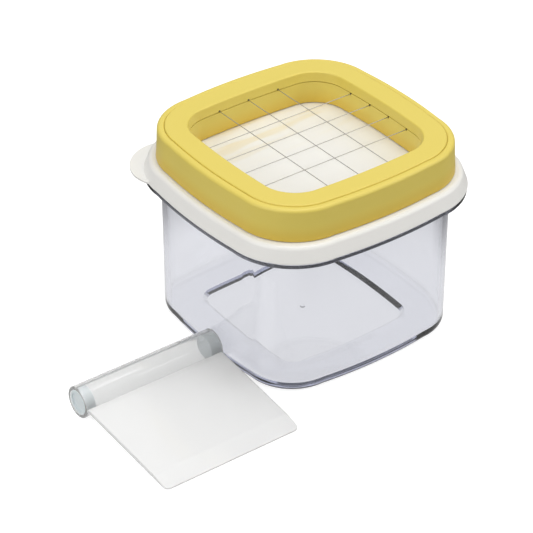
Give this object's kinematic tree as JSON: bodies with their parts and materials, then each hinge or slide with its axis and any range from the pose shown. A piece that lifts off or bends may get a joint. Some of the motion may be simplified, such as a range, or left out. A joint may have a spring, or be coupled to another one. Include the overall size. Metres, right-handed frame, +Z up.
{
  "type": "butter cutting box",
  "caption": "Clear square container with a push-on white lid, a yellow frame strung with cutting wires that rests on the lid, and a small scraper with a tube handle.",
  "frame": {"origin": "centre of the container's flat underside, on the table", "axes": "+Z up; the container's sides face along X and Y; the lid's thumb tab is at the corner towards -X and +Y; the scraper lies beside the -X side with its handle along X"},
  "size_m": [0.1721, 0.1206, 0.0869],
  "materials": {
    "clear_resin": "clear, polished",
    "lid_white": "satin",
    "butter_yellow": "satin",
    "stainless_wire": "drawn wire",
    "frosted_plastic": "milky, half clear",
    "pale_blue_plastic": "milky"
  },
  "bodies": {
    "container": {"container": "clear_resin"},
    "lid": {"lid": "lid_white"},
    "cutter": {"frame_body": "butter_yellow", "frame_cover": "butter_yellow", "depth_wire_1": "stainless_wire", "depth_wire_2": "stainless_wire", "depth_wire_3": "stainless_wire", "cross_wire_1": "stainless_wire", "cross_wire_2": "stainless_wire", "cross_wire_3": "stainless_wire", "cross_wire_4": "stainless_wire", "depth_wire_1_front_stop": "stainless_wire", "depth_wire_1_back_stop": "stainless_wire", "depth_wire_2_front_stop": "stainless_wire", "depth_wire_2_back_stop": "stainless_wire", "depth_wire_3_front_stop": "stainless_wire", "depth_wire_3_back_stop": "stainless_wire", "cross_wire_1_left_stop": "stainless_wire", "cross_wire_1_right_stop": "stainless_wire", "cross_wire_2_left_stop": "stainless_wire", "cross_wire_2_right_stop": "stainless_wire", "cross_wire_3_left_stop": "stainless_wire", "cross_wire_3_right_stop": "stainless_wire", "cross_wire_4_left_stop": "stainless_wire", "cross_wire_4_right_stop": "stainless_wire"},
    "scraper": {"scraper_handle": "frosted_plastic", "scraper_blade": "frosted_plastic", "end_plug_left": "pale_blue_plastic", "end_plug_right": "pale_blue_plastic"}
  },
  "joints": [
    {"name": "lid_lift", "type": "slide", "parent": "container", "child": "lid", "axis": [0, 0, 1], "range_m": [0, 0.08]},
    {"name": "cutter_lift", "type": "slide", "parent": "lid", "child": "cutter", "axis": [0, 0, 1], "range_m": [0, 0.06]},
    {"name": "scraper_lift", "type": "slide", "parent": "container", "child": "scraper", "axis": [-0.7071, 0, 0.7071], "range_m": [0, 0.1]}
  ]
}
